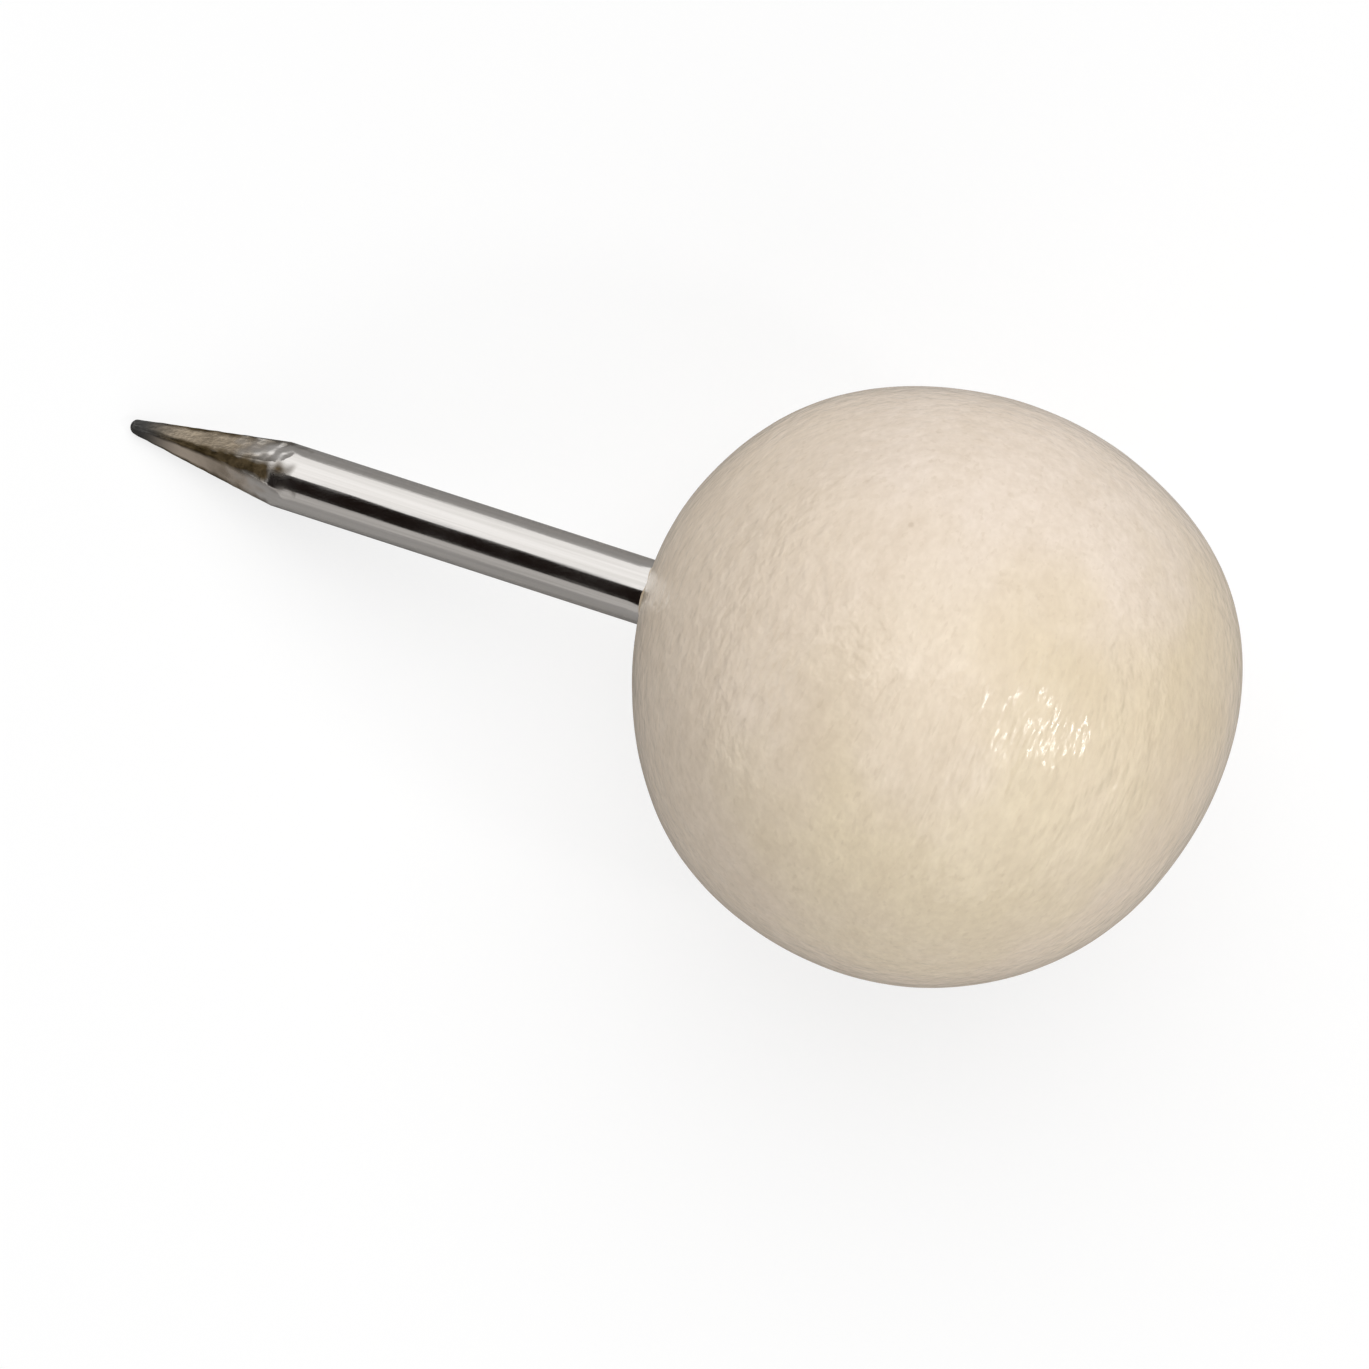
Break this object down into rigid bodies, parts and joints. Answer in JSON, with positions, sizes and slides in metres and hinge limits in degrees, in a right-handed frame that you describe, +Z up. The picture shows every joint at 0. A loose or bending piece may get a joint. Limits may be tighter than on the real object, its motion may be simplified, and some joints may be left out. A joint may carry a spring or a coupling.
{
  "type": "push pin",
  "caption": "Ball-head push pin: a turned wooden ball glued on a bright steel wire with a pinched point, for pinning paper to a board.",
  "frame": {"origin": "middle of the footprint, on the flat surface that the pin lies on", "axes": "+Z up from that surface; +X from the tip towards the ball, along the pin as seen from above"},
  "size_m": [0.0186, 0.01, 0.01],
  "materials": {
    "turned_wood": "satin",
    "plated_steel": "polished",
    "set_glue": "gloss"
  },
  "bodies": {
    "root": {"ball_head": "turned_wood", "steel_pin": "plated_steel", "glue_bond": "set_glue"}
  },
  "joints": []
}
